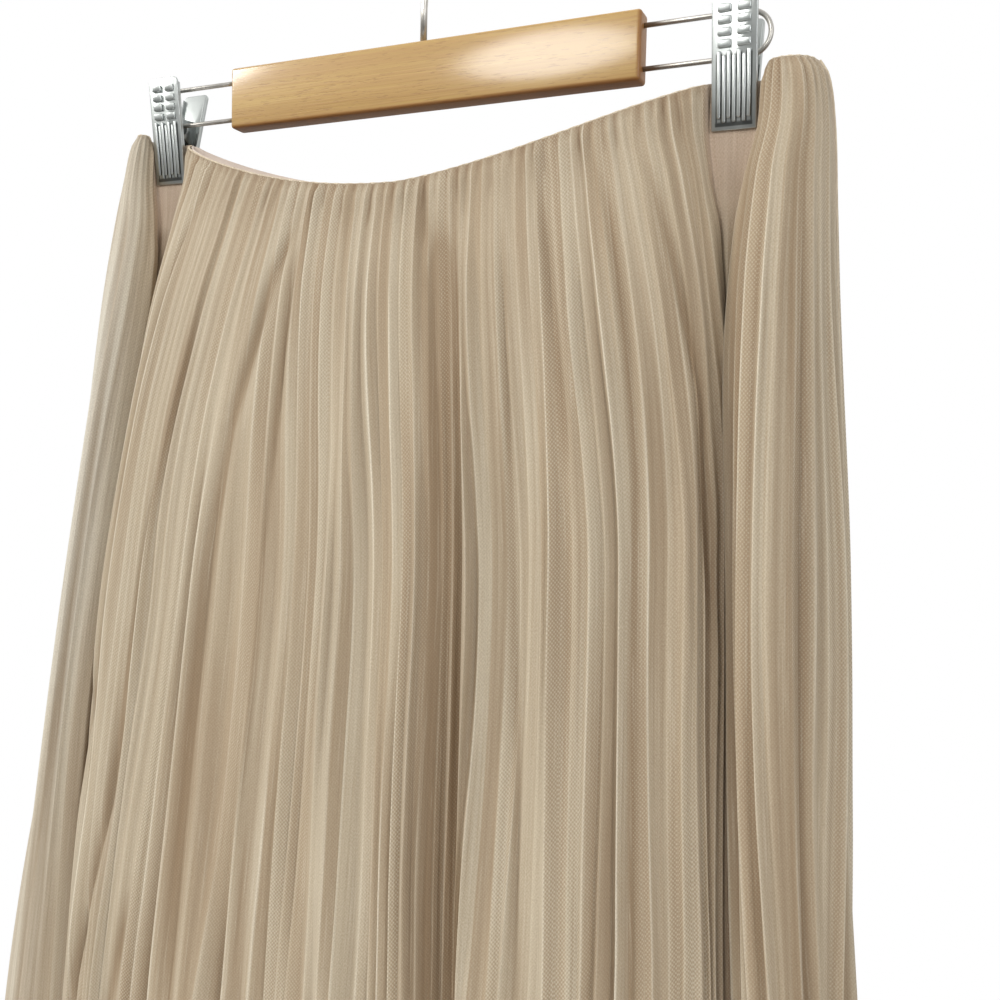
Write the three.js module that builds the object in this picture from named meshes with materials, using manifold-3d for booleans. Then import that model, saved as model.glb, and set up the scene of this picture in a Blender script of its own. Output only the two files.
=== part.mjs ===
// A pleated net maxi skirt, gathered at the waist, held by a wooden clip hanger.
// Millimetres, +Z up, the front of the skirt towards -Y. The origin is the inside
// crown of the hook, where a rail carries the hanger.
import * as THREE from 'three';
import { mergeVertices } from 'three/addons/utils/BufferGeometryUtils.js';
import { RoundedBoxGeometry } from 'three/addons/geometries/RoundedBoxGeometry.js';
import Module from 'manifold-3d';

const wasm = await Module();
wasm.setup();

// ---- Driving dimensions -------------------------------------------------------

const SEAM_GAP = 0.3;

// How far a lever's lips, ribs, knobs and ears are sunk into its plate.
const OVERLAP = 0.2;

// The wooden bar, its hook and the two wire loops that the clips slide on.
const BAR = { length: 214, thickness: 10.4, height: 30, rounding: 2.2 };
const BAR_DROP = 93;
const HOOK = { wire: 3.2, insideRadius: 19, tipAngle: 196, neckAngle: -52, shank: 24, sides: 8, steps: 38 };
const LOOP = {
  wire: 2.2, spacing: 18.4, bendHalf: 11.2, bendStart: 153.2, reach: 161.8, sides: 8, steps: 22,
};

// A pressed clip: a front and a back lever that lean apart above the jaws. ears: how
// far from the clip's middle each lever's two ears stand.
const CLIP = { left: -146, right: 147.5, foot: 39.5, length: 53, plate: 1.2, corner: 2.4 };
const LEVERS = {
  front: { width: 18.5, lean: 7.5, ears: 4.6 },
  back: { width: 15.6, lean: 14, ears: 3.3 },
};
const LIP = { depth: 1.3, thickness: 1, from: 17, to: 50 };
const EAR = { top: -1, bottom: -16.8, tipTop: -6, tipBottom: -12.4, tipReach: 2.3, thickness: 1 };
const RIB = { count: 4, pitch: 3.9, width: 2, from: 6, to: 30, rise: 0.8 };
const KNOB = { columns: 2, rows: 4, pitchX: 8, pitchZ: 4.6, width: 5.4, height: 3, from: 34, rise: 0.8 };
const SPRING = { outer: 3, clearance: 0.4, length: 4.2, sides: 14 };

// The cloth. All drops are measured down from the middle of the bar.
const HEM_DROP = 941;
const LINING_HEM_DROP = 868;
const JAW_DROP = 58;
const NET_WALL = 1;
const LINING_WALL = 1;
const PLEATS = 84;
const JAW_STACK = SEAM_GAP / 2 + LINING_WALL + SEAM_GAP + NET_WALL;
const ROWS = [0, 0.014, 0.04, 0.1, 0.21, 0.37, 0.62, 1];

// The half pleats from a panel's middle to its side seam: in the body between the
// clips, in the strip that a clip pinches, and in the side lobe. The lining has
// fewer columns over the same three parts.
const NET_COLUMNS = { body: 57, pinch: 5, lobe: 22 };
const LINING_COLUMNS = { body: 14, pinch: 2, lobe: 6 };
const SHARE = { body: NET_COLUMNS.body / PLEATS, pinch: NET_COLUMNS.pinch / PLEATS };

// Plan sections, from the waist to the hem. left and right: reach of the side
// seams. leftFold and rightFold: middle of the fold below each clip. gap: depth of
// that fold's floor from the mid plane. floor: its width. square: 2 gives an oval
// body, more a boxier one. front, back, lobe: how far each stands out past the
// floor. lean: how far a lobe leans over the fold. pleat: half the height of a
// pleat. lining: how far inside the lining hangs.
const SECTIONS = [
  { drop: 12, left: 166, right: 179, leftFold: 146, rightFold: 147.5, gap: JAW_STACK, floor: 21,
    square: 3.2, front: 16, back: 14, lobe: 8.5, lean: 0, pleat: 0.55, lining: 2.4 },
  { drop: 21, left: 168.5, right: 184, leftFold: 146, rightFold: 147.5, gap: JAW_STACK, floor: 21,
    square: 4.2, front: 18, back: 15, lobe: 12, lean: 0, pleat: 0.6, lining: 2.4 },
  { drop: 40, left: 172, right: 187, leftFold: 146, rightFold: 147.5, gap: JAW_STACK, floor: 21,
    square: 6, front: 21, back: 17, lobe: 16, lean: 2, pleat: 0.75, lining: 2.4 },
  { drop: 62, left: 176.5, right: 188.5, leftFold: 147, rightFold: 147.5, gap: 3.4, floor: 15,
    square: 8, front: 24, back: 19, lobe: 19.5, lean: 6, pleat: 0.9, lining: 2.8 },
  { drop: 110, left: 182, right: 191, leftFold: 152, rightFold: 149, gap: 7, floor: 9,
    square: 8, front: 29, back: 24, lobe: 25, lean: 7, pleat: 1.3, lining: 4.6 },
  { drop: 210, left: 195, right: 197.5, leftFold: 166, rightFold: 153, gap: 13, floor: 8,
    square: 6, front: 33, back: 28, lobe: 27, lean: 7, pleat: 1.9, lining: 6 },
  { drop: 330, left: 213, right: 202.5, leftFold: 180, rightFold: 159, gap: 19, floor: 9,
    square: 5, front: 36, back: 31, lobe: 28, lean: 5, pleat: 2.4, lining: 8 },
  { drop: 480, left: 241, right: 212, leftFold: 189, rightFold: 167, gap: 25, floor: 10,
    square: 5, front: 39, back: 34, lobe: 29, lean: 3, pleat: 2.8, lining: 9.5 },
  { drop: 700, left: 266, right: 226, leftFold: 201, rightFold: 178, gap: 31, floor: 12,
    square: 5, front: 42, back: 37, lobe: 30, lean: 2, pleat: 3.2, lining: 11.5 },
  { drop: 941, left: 286, right: 241, leftFold: 211, rightFold: 187, gap: 35, floor: 13,
    square: 5, front: 44, back: 39, lobe: 31, lean: 2, pleat: 3.6, lining: 13 },
];

// The large folds of each panel, which start below the waist and deepen to the hem.
// at and width: place and half-width as shares of the panel from its middle.
const FOLDS = [
  { face: 'front', at: 0.19, width: 0.058, start: 110, depth: 23 },
  { face: 'front', at: -0.14, width: 0.05, start: 300, depth: 13 },
  { face: 'front', at: -0.4, width: 0.055, start: 230, depth: 15 },
  { face: 'front', at: 0.43, width: 0.05, start: 260, depth: 15 },
  { face: 'back', at: -0.1, width: 0.055, start: 140, depth: 21 },
  { face: 'back', at: 0.27, width: 0.05, start: 220, depth: 16 },
  { face: 'back', at: -0.4, width: 0.05, start: 280, depth: 15 },
  { face: 'back', at: 0.5, width: 0.045, start: 200, depth: 12 },
];

// The waist edge sags between the clips and stands up again in the side lobes.
// The bows say how flat the sag is at its bottom, on either side of the middle.
const WAIST = {
  front: { middle: 54.5, left: 20, leftBow: 2, right: 19.5, rightBow: 1.35 },
  back: { middle: 46.5, left: 20, leftBow: 2, right: 20, rightBow: 2 },
  inJaws: 20.5,
  lobe: 14.5,
};

// ---- Materials ----------------------------------------------------------------

function finish(color, roughness, metalness) {
  return new THREE.MeshStandardMaterial({ color, roughness, metalness, side: THREE.DoubleSide });
}

const netCloth = finish(0xc9b394, 0.85, 0);
const liningCloth = finish(0xdcc5b2, 0.6, 0);
const beech = finish(0xc98f4e, 0.4, 0);
const chrome = finish(0xcfd2d4, 0.18, 1);
const steelWire = finish(0x9a9a98, 0.35, 1);

// ---- Small helpers ------------------------------------------------------------

function mix(a, b, share) {
  return a + (b - a) * share;
}

function ease(value) {
  const held = Math.min(1, Math.max(0, value));
  return held * held * (3 - 2 * held);
}

// One column of SECTIONS at a drop, on a smooth curve through the rows.
function sized(column, drop) {
  const last = SECTIONS.length - 1;
  const held = Math.min(SECTIONS[last].drop, Math.max(SECTIONS[0].drop, drop));
  let row = 0;
  while (row < last - 1 && held > SECTIONS[row + 1].drop) row += 1;
  const slope = (at) => {
    const above = SECTIONS[Math.max(0, at - 1)];
    const below = SECTIONS[Math.min(last, at + 1)];
    return (below[column] - above[column]) / (below.drop - above.drop);
  };
  const [upper, lower] = [SECTIONS[row], SECTIONS[row + 1]];
  const span = lower.drop - upper.drop;
  const u = (held - upper.drop) / span;
  const rise = lower[column] - upper[column];
  const bend = u * (1 - u) * ((1 - u) * (slope(row) * span - rise) - u * (slope(row + 1) * span - rise));
  return upper[column] + rise * u + bend;
}

// The point at a share of the length of a plane curve given as u -> [x, y].
function walk(curve, share) {
  const steps = 40;
  const points = [];
  const lengths = [0];
  for (let i = 0; i <= steps; i += 1) {
    points.push(curve(i / steps));
    if (i > 0) {
      const [a, b] = [points[i - 1], points[i]];
      lengths.push(lengths[i - 1] + Math.hypot(b[0] - a[0], b[1] - a[1]));
    }
  }
  const wanted = share * lengths[steps];
  let i = 1;
  while (i < steps && lengths[i] < wanted) i += 1;
  const part = (wanted - lengths[i - 1]) / (lengths[i] - lengths[i - 1]);
  return [mix(points[i - 1][0], points[i][0], part), mix(points[i - 1][1], points[i][1], part)];
}

// ---- The form of the skirt ----------------------------------------------------

// How far a large fold draws the panel in at a place and a drop.
function foldedIn(face, place, drop) {
  let inward = 0;
  for (const fold of FOLDS) {
    if (fold.face !== face) continue;
    const depth = fold.depth * ease((drop - fold.start) / (HEM_DROP - fold.start));
    inward += depth * Math.exp(-(((place - fold.at) / fold.width) ** 2));
  }
  return inward;
}

// A panel's plan at a drop. place runs from -1, the left seam, to 1, the right one.
// inside is 0 for the net and 1 for the lining, which hangs inside it.
function planPoint(face, place, drop, inside) {
  const side = place < 0 ? 'left' : 'right';
  const inset = inside * sized('lining', drop);
  const belowJaws = Math.max(0, drop - JAW_DROP) * 0.08;
  const jawInset = inside * Math.min(sized('lining', drop), NET_WALL + SEAM_GAP + belowJaws);
  const gap = sized('gap', drop) - jawInset;
  const floor = sized('floor', drop) + 2 * inset;
  const fold = sized(`${side}Fold`, drop);
  const bulge = sized(face, drop) - (inset - jawInset);
  const lobe = sized('lobe', drop) - inset * 0.7;
  const reach = sized(side, drop) - inset;
  const lean = sized('lean', drop);
  const away = Math.abs(place);
  let x = 0;
  let y = 0;
  if (away <= SHARE.body) {
    const width = fold - floor / 2;
    const round = 2 / sized('square', drop);
    const body = (u) => [width * Math.sin(u * Math.PI / 2) ** round, bulge * Math.cos(u * Math.PI / 2)];
    [x, y] = walk(body, away / SHARE.body);
    y += gap - foldedIn(face, place, drop) * ease((1 - away / SHARE.body) * 8);
  } else if (away <= SHARE.body + SHARE.pinch) {
    x = fold + floor * ((away - SHARE.body) / SHARE.pinch - 0.5);
    y = gap;
  } else {
    const start = fold + floor / 2;
    const half = (reach - start) / 2;
    const around = (u) => {
      const out = Math.sin(u * Math.PI);
      return [start + half * (1 - Math.cos(u * Math.PI)) - lean * out * (1 - u), lobe * out];
    };
    const share = (away - SHARE.body - SHARE.pinch) / (1 - SHARE.body - SHARE.pinch);
    [x, y] = walk(around, share);
    y += mix(gap, SEAM_GAP / 2, share);
  }
  return [place < 0 ? -x : x, face === 'front' ? -y : y];
}

// How far the waist edge lies below the middle of the bar at a place.
function waistDrop(face, place) {
  const away = Math.abs(place);
  const { middle, left, leftBow, right, rightBow } = WAIST[face];
  const [atClip, bow] = place < 0 ? [left, leftBow] : [right, rightBow];
  if (away <= SHARE.body) return mix(middle, atClip, (away / SHARE.body) ** bow);
  if (away <= SHARE.body + SHARE.pinch) {
    return mix(atClip, WAIST.inJaws, ease((away - SHARE.body) / SHARE.pinch * 2));
  }
  const share = (away - SHARE.body - SHARE.pinch) / (1 - SHARE.body - SHARE.pinch);
  return mix(WAIST.inJaws, WAIST.lobe, ease(share * 3.5));
}

// Pleats lie flat in the jaws, stay low in the fold below and die out at the seams.
function pleatHeight(place, drop) {
  const away = Math.abs(place);
  const fromPinch = Math.abs(away - SHARE.body - SHARE.pinch / 2) - SHARE.pinch / 2;
  const inFold = 0.2 * ease((drop - 50) / 60);
  return sized('pleat', drop) * mix(inFold, 1, ease(fromPinch / 0.03)) * ease((1 - away) / 0.02);
}

// A closed wall from a grid of outer points and their matching inner points.
function wallSolid(outer, inner) {
  const rows = outer.length;
  const columns = outer[0].length;
  const positions = [...outer.flat(), ...inner.flat()].flat();
  const index = [];
  const outerAt = (row, column) => row * columns + column;
  const innerAt = (row, column) => rows * columns + row * columns + column;
  const quad = (a, b, c, d) => index.push(a, b, c, a, c, d);
  for (let row = 0; row < rows - 1; row += 1) {
    for (let column = 0; column < columns - 1; column += 1) {
      quad(outerAt(row, column), outerAt(row + 1, column),
        outerAt(row + 1, column + 1), outerAt(row, column + 1));
      quad(innerAt(row, column), innerAt(row, column + 1),
        innerAt(row + 1, column + 1), innerAt(row + 1, column));
    }
  }
  for (let column = 0; column < columns - 1; column += 1) {
    quad(outerAt(0, column), outerAt(0, column + 1), innerAt(0, column + 1), innerAt(0, column));
    quad(outerAt(rows - 1, column), innerAt(rows - 1, column),
      innerAt(rows - 1, column + 1), outerAt(rows - 1, column + 1));
  }
  for (let row = 0; row < rows - 1; row += 1) {
    quad(outerAt(row, 0), innerAt(row, 0), innerAt(row + 1, 0), outerAt(row + 1, 0));
    quad(outerAt(row, columns - 1), outerAt(row + 1, columns - 1),
      innerAt(row + 1, columns - 1), innerAt(row, columns - 1));
  }
  const geometry = new THREE.BufferGeometry();
  geometry.setAttribute('position', new THREE.Float32BufferAttribute(positions, 3));
  geometry.setIndex(index);
  return geometry;
}

// The places of a panel's columns, from -1 to 1, with one on each edge of a pinch.
function columnPlaces({ body, pinch, lobe }) {
  const half = [];
  for (let i = 1; i <= body; i += 1) half.push(SHARE.body * i / body);
  for (let i = 1; i <= pinch; i += 1) half.push(SHARE.body + SHARE.pinch * i / pinch);
  const start = SHARE.body + SHARE.pinch;
  for (let i = 1; i <= lobe; i += 1) half.push(mix(start, 1, i / lobe));
  return [...half.map((place) => -place).reverse(), 0, ...half];
}

// One panel as a wall. Rows run down the cloth and columns across it, from seam to
// seam. The back panel's columns run the other way, so that its faces point out.
function panel({ face, inside, columns, hem, wall, pleated }) {
  const outer = [];
  const inner = [];
  const places = columnPlaces(columns);
  if (face === 'back') places.reverse();
  const last = places.length - 1;
  for (const share of ROWS) {
    const line = places.map((place) => {
      const drop = Math.min(hem, mix(waistDrop(face, place), HEM_DROP, share));
      return { place, drop, at: planPoint(face, place, drop, inside) };
    });
    const outerLine = [];
    const innerLine = [];
    line.forEach(({ place, drop, at }, column) => {
      const before = line[Math.max(0, column - 1)].at;
      const after = line[Math.min(last, column + 1)].at;
      const run = Math.hypot(after[0] - before[0], after[1] - before[1]);
      const atSeam = column === 0 || column === last;
      const square = [(after[1] - before[1]) / run, (before[0] - after[0]) / run];
      const out = atSeam ? [Math.sign(place), 0] : square;
      const crest = column % 2 === 0 ? -1 : 1;
      const height = pleated ? pleatHeight(place, drop) : 0;
      const steepness = height * 4 / run;
      const thickness = wall * Math.sqrt(1 + (atSeam ? 0 : steepness ** 2));
      outerLine.push([at[0] + out[0] * height * crest, at[1] + out[1] * height * crest, -drop]);
      const depth = height * crest - thickness;
      innerLine.push([at[0] + out[0] * depth, at[1] + out[1] * depth, -drop]);
    });
    outer.push(outerLine);
    inner.push(innerLine);
  }
  return wallSolid(outer, inner);
}

function netPanel(face) {
  return panel({ face, inside: 0, columns: NET_COLUMNS, hem: HEM_DROP, wall: NET_WALL, pleated: true });
}

function liningPanel(face) {
  return panel({
    face, inside: 1, columns: LINING_COLUMNS, hem: LINING_HEM_DROP, wall: LINING_WALL, pleated: false,
  });
}

// ---- The hanger ---------------------------------------------------------------

function circleShape(radius, sides) {
  const shape = new THREE.Shape();
  for (let i = 0; i < sides; i += 1) {
    const angle = i / sides * Math.PI * 2;
    const point = [radius * Math.cos(angle), radius * Math.sin(angle)];
    if (i === 0) shape.moveTo(...point);
    else shape.lineTo(...point);
  }
  shape.closePath();
  return shape;
}

function wireAlong(points, wire, sides, steps) {
  const extrudePath = new THREE.CatmullRomCurve3(points, false, 'centripetal');
  return new THREE.ExtrudeGeometry(circleShape(wire / 2, sides), { extrudePath, steps });
}

// The hook hangs from its inside crown, at the origin. Its neck swings back under
// the crown and runs straight down to the bar.
function hook() {
  const radius = HOOK.insideRadius + HOOK.wire / 2;
  const points = [];
  for (let angle = HOOK.tipAngle; angle >= HOOK.neckAngle; angle -= 15.5) {
    const turn = THREE.MathUtils.degToRad(angle);
    points.push(new THREE.Vector3(radius * Math.cos(turn), 0, radius * Math.sin(turn) - HOOK.insideRadius));
  }
  const barTop = -BAR_DROP + BAR.height / 2 + SEAM_GAP;
  for (const share of [1, 0.5, 0]) {
    points.push(new THREE.Vector3(0, 0, barTop + HOOK.shank * share));
  }
  return wireAlong(points, HOOK.wire, HOOK.sides, HOOK.steps);
}

function wireLoop(side) {
  const half = LOOP.spacing / 2;
  const bendDepth = LOOP.reach - LOOP.wire / 2 - LOOP.bendStart;
  const start = BAR.length / 2 + SEAM_GAP;
  const upper = [];
  const bend = [];
  for (const share of [0, 0.33, 0.66, 0.95]) {
    upper.push(new THREE.Vector3(side * mix(start, LOOP.bendStart, share), 0, half));
  }
  for (let angle = 66; angle >= -66; angle -= 22) {
    const turn = THREE.MathUtils.degToRad(angle);
    const x = LOOP.bendStart + bendDepth * Math.cos(turn);
    bend.push(new THREE.Vector3(side * x, 0, LOOP.bendHalf * Math.sin(turn)));
  }
  const lower = upper.map((point) => new THREE.Vector3(point.x, 0, -point.z)).reverse();
  return wireAlong([...upper, ...bend, ...lower], LOOP.wire, LOOP.sides, LOOP.steps);
}

function asManifold(geometry) {
  const bare = geometry.index ? geometry.clone() : geometry;
  bare.deleteAttribute('normal');
  bare.deleteAttribute('uv');
  const merged = mergeVertices(bare);
  return new wasm.Manifold(new wasm.Mesh({
    numProp: 3,
    vertProperties: new Float32Array(merged.attributes.position.array),
    triVerts: new Uint32Array(merged.index.array),
  }));
}

function asGeometry(solid) {
  const mesh = solid.getMesh();
  const geometry = new THREE.BufferGeometry();
  geometry.setAttribute('position', new THREE.BufferAttribute(mesh.vertProperties.slice(), 3));
  geometry.setIndex(new THREE.BufferAttribute(mesh.triVerts.slice(), 1));
  return geometry;
}

function block(width, depth, height, x, y, z) {
  const geometry = new THREE.BoxGeometry(width, depth, height);
  geometry.translate(x, y, z);
  return geometry;
}

// The pressed plate of a lever, upright, its inner face on y = 0 and its foot on z = 0.
function leverPlate(width) {
  const shape = new THREE.Shape();
  const half = width / 2;
  const r = CLIP.corner;
  shape.moveTo(-half, 0);
  shape.lineTo(half, 0);
  shape.lineTo(half, CLIP.length - r);
  shape.absarc(half - r, CLIP.length - r, r, 0, Math.PI / 2, false);
  shape.absarc(-half + r, CLIP.length - r, r, Math.PI / 2, Math.PI, false);
  shape.closePath();
  const sheet = { depth: CLIP.plate, bevelEnabled: false, curveSegments: 4 };
  const geometry = new THREE.ExtrudeGeometry(shape, sheet);
  geometry.rotateX(Math.PI / 2);
  return geometry;
}

// Side lips, upright ribs above the foot, and two columns of finger knobs.
function leverRelief(width) {
  const pieces = [];
  const lipHeight = LIP.to - LIP.from;
  for (const side of [-1, 1]) {
    const x = side * (width - LIP.thickness) / 2;
    const middle = LIP.from + lipHeight / 2;
    pieces.push(block(LIP.thickness, LIP.depth + OVERLAP, lipHeight, x, (LIP.depth - OVERLAP) / 2, middle));
  }
  const outward = -CLIP.plate - (RIB.rise - OVERLAP) / 2;
  for (let rib = 0; rib < RIB.count; rib += 1) {
    const x = (rib - (RIB.count - 1) / 2) * RIB.pitch;
    pieces.push(block(RIB.width, RIB.rise + OVERLAP, RIB.to - RIB.from, x, outward, (RIB.from + RIB.to) / 2));
  }
  for (let column = 0; column < KNOB.columns; column += 1) {
    for (let row = 0; row < KNOB.rows; row += 1) {
      const x = (column - (KNOB.columns - 1) / 2) * KNOB.pitchX * width / LEVERS.front.width;
      const z = KNOB.from + row * KNOB.pitchZ;
      pieces.push(block(KNOB.width, KNOB.rise + OVERLAP, KNOB.height, x, outward, z));
    }
  }
  return pieces;
}

// A lever of a clip, in the bar's frame with the clip at x = 0, leaning to -Y.
// Its two ears reach past the lower wire, which runs through them.
function lever({ width, lean: degrees, ears }) {
  const lean = THREE.MathUtils.degToRad(degrees);
  const placed = new THREE.Matrix4().makeTranslation(0, -JAW_STACK - SEAM_GAP, -CLIP.foot)
    .multiply(new THREE.Matrix4().makeRotationX(lean));
  let solid = asManifold(leverPlate(width).applyMatrix4(placed));
  for (const piece of leverRelief(width)) {
    solid = solid.add(asManifold(piece.applyMatrix4(placed)));
  }
  const plateAt = (z) => -JAW_STACK - SEAM_GAP - (z + CLIP.foot) * Math.tan(lean) - OVERLAP;
  const ear = new THREE.Shape();
  ear.moveTo(plateAt(EAR.bottom), EAR.bottom);
  ear.lineTo(EAR.tipReach, EAR.tipBottom);
  ear.lineTo(EAR.tipReach, EAR.tipTop);
  ear.lineTo(plateAt(EAR.top), EAR.top);
  ear.closePath();
  const toSide = new THREE.Matrix4().makeBasis(
    new THREE.Vector3(0, 1, 0), new THREE.Vector3(0, 0, 1), new THREE.Vector3(1, 0, 0),
  );
  for (const side of [-1, 1]) {
    const shape = new THREE.ExtrudeGeometry(ear, { depth: EAR.thickness, bevelEnabled: false });
    shape.applyMatrix4(toSide);
    shape.translate(side * (ears - EAR.thickness / 2) - EAR.thickness / 2, 0, 0);
    solid = solid.add(asManifold(shape));
  }
  const hole = new THREE.CylinderGeometry(LOOP.wire / 2 + 0.4, LOOP.wire / 2 + 0.4, width + 4, 12);
  hole.rotateZ(Math.PI / 2);
  hole.translate(0, 0, -LOOP.spacing / 2);
  return asGeometry(solid.subtract(asManifold(hole)));
}

function spring() {
  const inner = LOOP.wire / 2 + SPRING.clearance;
  const half = SPRING.length / 2;
  const profile = [[inner, -half], [SPRING.outer, -half], [SPRING.outer, half], [inner, half], [inner, -half]]
    .map(([radius, along]) => new THREE.Vector2(radius, along));
  const geometry = new THREE.LatheGeometry(profile, SPRING.sides);
  geometry.rotateZ(Math.PI / 2);
  geometry.translate(0, 0, -LOOP.spacing / 2);
  return geometry;
}

// ---- The whole piece ----------------------------------------------------------

function named(name, geometry, material) {
  const mesh = new THREE.Mesh(geometry, material);
  mesh.name = name;
  return mesh;
}

function clip(word) {
  const group = new THREE.Group();
  group.position.x = CLIP[word];
  const back = named(`clip_back_${word}`, lever(LEVERS.back), chrome);
  back.rotation.z = Math.PI;
  group.add(
    named(`clip_front_${word}`, lever(LEVERS.front), chrome),
    back,
    named(`clip_spring_${word}`, spring(), steelWire),
  );
  return group;
}

// Everything that is measured from the middle of the bar.
const belowHook = new THREE.Group();
belowHook.position.z = -BAR_DROP;
belowHook.add(
  named('hanger_bar', new RoundedBoxGeometry(BAR.length, BAR.thickness, BAR.height, 2, BAR.rounding), beech),
  named('wire_left', wireLoop(-1), steelWire),
  named('wire_right', wireLoop(1), steelWire),
  clip('left'),
  clip('right'),
  named('skirt_front', netPanel('front'), netCloth),
  named('skirt_back', netPanel('back'), netCloth),
  named('lining_front', liningPanel('front'), liningCloth),
  named('lining_back', liningPanel('back'), liningCloth),
);

const group = new THREE.Group();
group.add(named('hook', hook(), steelWire), belowHook);

export default group;
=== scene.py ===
# %% [markdown]
# # A pleated net skirt on a clip hanger
# The skirt is two panels of pleated net over a plain lining. A wooden bar with a
# wire hook carries it, and two sprung clips pinch its waist. This lesson dresses
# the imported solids: the wood, wire and clips are remade with rounded edges, and
# the cloth is remade with uneven pleats on the same plan sections.

# %% Load the frame
import math
import bmesh
import bpy
import numpy as np
from mathutils import Matrix, Vector


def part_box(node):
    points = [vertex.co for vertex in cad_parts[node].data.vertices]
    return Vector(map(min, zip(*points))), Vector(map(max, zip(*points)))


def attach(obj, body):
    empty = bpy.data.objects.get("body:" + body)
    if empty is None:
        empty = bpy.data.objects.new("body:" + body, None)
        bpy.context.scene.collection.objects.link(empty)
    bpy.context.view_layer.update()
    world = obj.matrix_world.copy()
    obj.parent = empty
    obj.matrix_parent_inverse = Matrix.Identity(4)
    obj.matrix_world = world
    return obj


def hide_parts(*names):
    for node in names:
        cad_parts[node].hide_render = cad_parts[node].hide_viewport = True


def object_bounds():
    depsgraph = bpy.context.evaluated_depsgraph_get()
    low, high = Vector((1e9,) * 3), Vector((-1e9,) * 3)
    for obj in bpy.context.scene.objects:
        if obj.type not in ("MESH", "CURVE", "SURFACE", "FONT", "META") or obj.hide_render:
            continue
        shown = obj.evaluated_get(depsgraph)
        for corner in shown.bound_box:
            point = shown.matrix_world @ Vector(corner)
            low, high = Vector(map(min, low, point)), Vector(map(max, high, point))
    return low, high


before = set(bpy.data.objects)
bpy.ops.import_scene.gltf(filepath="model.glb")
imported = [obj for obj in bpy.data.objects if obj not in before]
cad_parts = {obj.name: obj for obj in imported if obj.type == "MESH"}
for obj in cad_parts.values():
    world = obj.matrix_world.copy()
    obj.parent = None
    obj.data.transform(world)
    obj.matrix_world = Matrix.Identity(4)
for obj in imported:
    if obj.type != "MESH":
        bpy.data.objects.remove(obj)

CAD_LOW, CAD_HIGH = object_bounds()
print("CAD box", [round(v, 4) for v in CAD_LOW], [round(v, 4) for v in CAD_HIGH])

# %% [markdown]
# ## Camera, light and floor
# The camera stands to the right of the skirt at the height of its hips and looks
# left and slightly down. Soft lamps stand for a window on the left, a ceiling light
# that glares on the bar, and a fill from the right. Chrome only looks like chrome if
# it has dark and light things to mirror, so the world is bright above, dim behind
# the camera, and plain white where it is seen.

# %% The camera
scene = bpy.context.scene


def aim_camera(place, turn, tip, roll, lens):
    """A camera that looks along +Y, then turned left, tipped up and rolled, in degrees."""
    data = bpy.data.cameras.new("camera")
    data.lens, data.sensor_width = lens, 36
    data.clip_start, data.clip_end = 0.01, 60
    camera = bpy.data.objects.new("camera", data)
    scene.collection.objects.link(camera)
    pose = Matrix.Translation(place)
    for degrees, axis in ((turn, "Z"), (90 + tip, "X"), (roll, "Z")):
        pose = pose @ Matrix.Rotation(math.radians(degrees), 4, axis)
    camera.matrix_world = pose
    scene.camera = camera
    return camera


camera = aim_camera((0.239, -0.4443, -0.2653), turn=23.59, tip=-2.94, roll=1.43, lens=37.8)
print("camera at", [round(v, 3) for v in camera.matrix_world.translation])

# %% Shader nodes
def srgb(levels):
    """A linear colour from 0-255 display levels."""
    return tuple((v / 255 / 12.92) if v < 10.3 else ((v / 255 + 0.055) / 1.055) ** 2.4
                 for v in levels) + (1,)


class Nodes:
    """Short ways to add nodes to a shader tree. A value is a socket or a constant."""

    def __init__(self, tree):
        self.tree = tree

    def put(self, socket, value):
        if isinstance(value, bpy.types.NodeSocket):
            self.tree.links.new(value, socket)
        else:
            socket.default_value = value

    def fill(self, made, **values):
        """Sets a node's options (lower case) and sockets, by their names."""
        for name, value in values.items():
            if name.islower():
                setattr(made, name, value)
            else:
                self.put(made.inputs[name.replace("_", " ")], value)
        return made

    def add(self, kind, **values):
        return self.fill(self.tree.nodes.new(kind), **values)

    def feed(self, kind, *values, **options):
        """The first output of a new node whose sockets take values in order."""
        made = self.add(kind, **options)
        for socket, value in zip(made.inputs, values):
            self.put(socket, value)
        return made.outputs[0]

    def calc(self, operation, *values):
        return self.feed("ShaderNodeMath", *values, operation=operation)

    def span(self, value, low, high, to_low=0.0, to_high=1.0):
        """Maps low..high to to_low..to_high, held at the ends."""
        return self.feed("ShaderNodeMapRange", value, low, high, to_low, to_high)

    def colour(self, share, first, second):
        made = self.add("ShaderNodeMix", data_type="RGBA")
        for index, value in ((0, share), (6, first), (7, second)):
            self.put(made.inputs[index], value)
        return made.outputs[2]

    def tinted(self, body, mask, most, tint, none_at=0, all_at=1):
        """A colour turned by up to a share towards a 0-255 tint, as a mask says."""
        return self.colour(self.span(mask, none_at, all_at, 0, most), body, srgb(tint))

    def place(self, kind="Object"):
        return self.add("ShaderNodeTexCoord").outputs[kind]

    def mark(self, name):
        return self.add("ShaderNodeAttribute", attribute_name=name).outputs["Fac"]

    def bump(self, height, distance, strength):
        return self.feed("ShaderNodeBump", strength, distance, Height=height)


def new_material(name, **values):
    """A Principled material with its sockets set by name, its nodes and its shader."""
    made = bpy.data.materials.new(name)
    made.use_nodes = True
    n = Nodes(made.node_tree)
    return made, n, n.fill(n.tree.nodes["Principled BSDF"], **values)


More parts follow.
